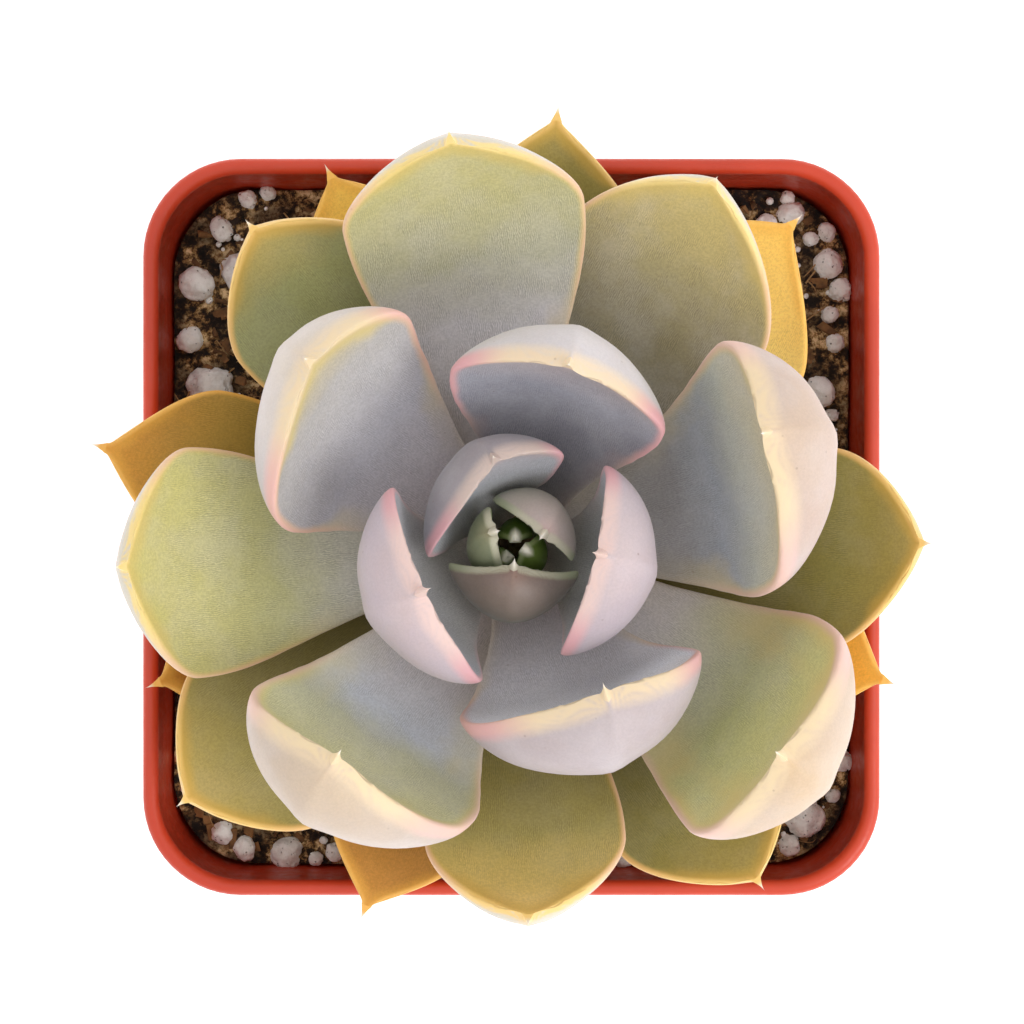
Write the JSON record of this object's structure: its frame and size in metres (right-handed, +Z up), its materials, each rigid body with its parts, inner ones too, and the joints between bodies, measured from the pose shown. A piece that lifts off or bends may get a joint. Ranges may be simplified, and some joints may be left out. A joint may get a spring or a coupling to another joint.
{
  "type": "potted succulent",
  "caption": "Square moulded plastic nursery pot of potting mix with perlite, and a rosette of thick, cupped, pointed leaves on a short stem that spreads out over the rim.",
  "frame": {"origin": "centre of the underside of the pot, on the floor that the pot stands on", "axes": "+Z up along the pot; +X to the right and +Y to the top of the picture, square to the pot's sides"},
  "size_m": [0.0782, 0.0765, 0.0957],
  "materials": {
    "pot": "satin",
    "soil": "matte",
    "stem": "matte",
    "leaf_01": "matte",
    "leaf_02": "matte",
    "leaf_03": "matte",
    "leaf_04": "matte",
    "leaf_05": "matte",
    "leaf_06": "matte",
    "leaf_07": "matte",
    "leaf_08": "matte",
    "leaf_09": "matte",
    "leaf_10": "matte",
    "leaf_11": "matte",
    "leaf_12": "matte",
    "leaf_13": "matte",
    "leaf_14": "matte",
    "leaf_15": "matte",
    "leaf_16": "matte",
    "leaf_17": "matte",
    "leaf_18": "matte",
    "leaf_19": "matte",
    "leaf_20": "matte",
    "leaf_21": "matte",
    "leaf_22": "matte",
    "leaf_23": "matte",
    "leaf_24": "matte",
    "leaf_25": "matte",
    "leaf_26": "matte",
    "leaf_27": "matte",
    "leaf_28": "matte",
    "leaf_29": "matte",
    "leaf_30": "matte"
  },
  "bodies": {
    "root": {"pot": "pot", "soil": "soil", "stem": "stem", "leaf_01": "leaf_01", "leaf_02": "leaf_02", "leaf_03": "leaf_03", "leaf_04": "leaf_04", "leaf_05": "leaf_05", "leaf_06": "leaf_06", "leaf_07": "leaf_07", "leaf_08": "leaf_08", "leaf_09": "leaf_09", "leaf_10": "leaf_10", "leaf_11": "leaf_11", "leaf_12": "leaf_12", "leaf_13": "leaf_13", "leaf_14": "leaf_14", "leaf_15": "leaf_15", "leaf_16": "leaf_16", "leaf_17": "leaf_17", "leaf_18": "leaf_18", "leaf_19": "leaf_19", "leaf_20": "leaf_20", "leaf_21": "leaf_21", "leaf_22": "leaf_22", "leaf_23": "leaf_23", "leaf_24": "leaf_24", "leaf_25": "leaf_25", "leaf_26": "leaf_26", "leaf_27": "leaf_27", "leaf_28": "leaf_28", "leaf_29": "leaf_29", "leaf_30": "leaf_30"}
  },
  "joints": []
}
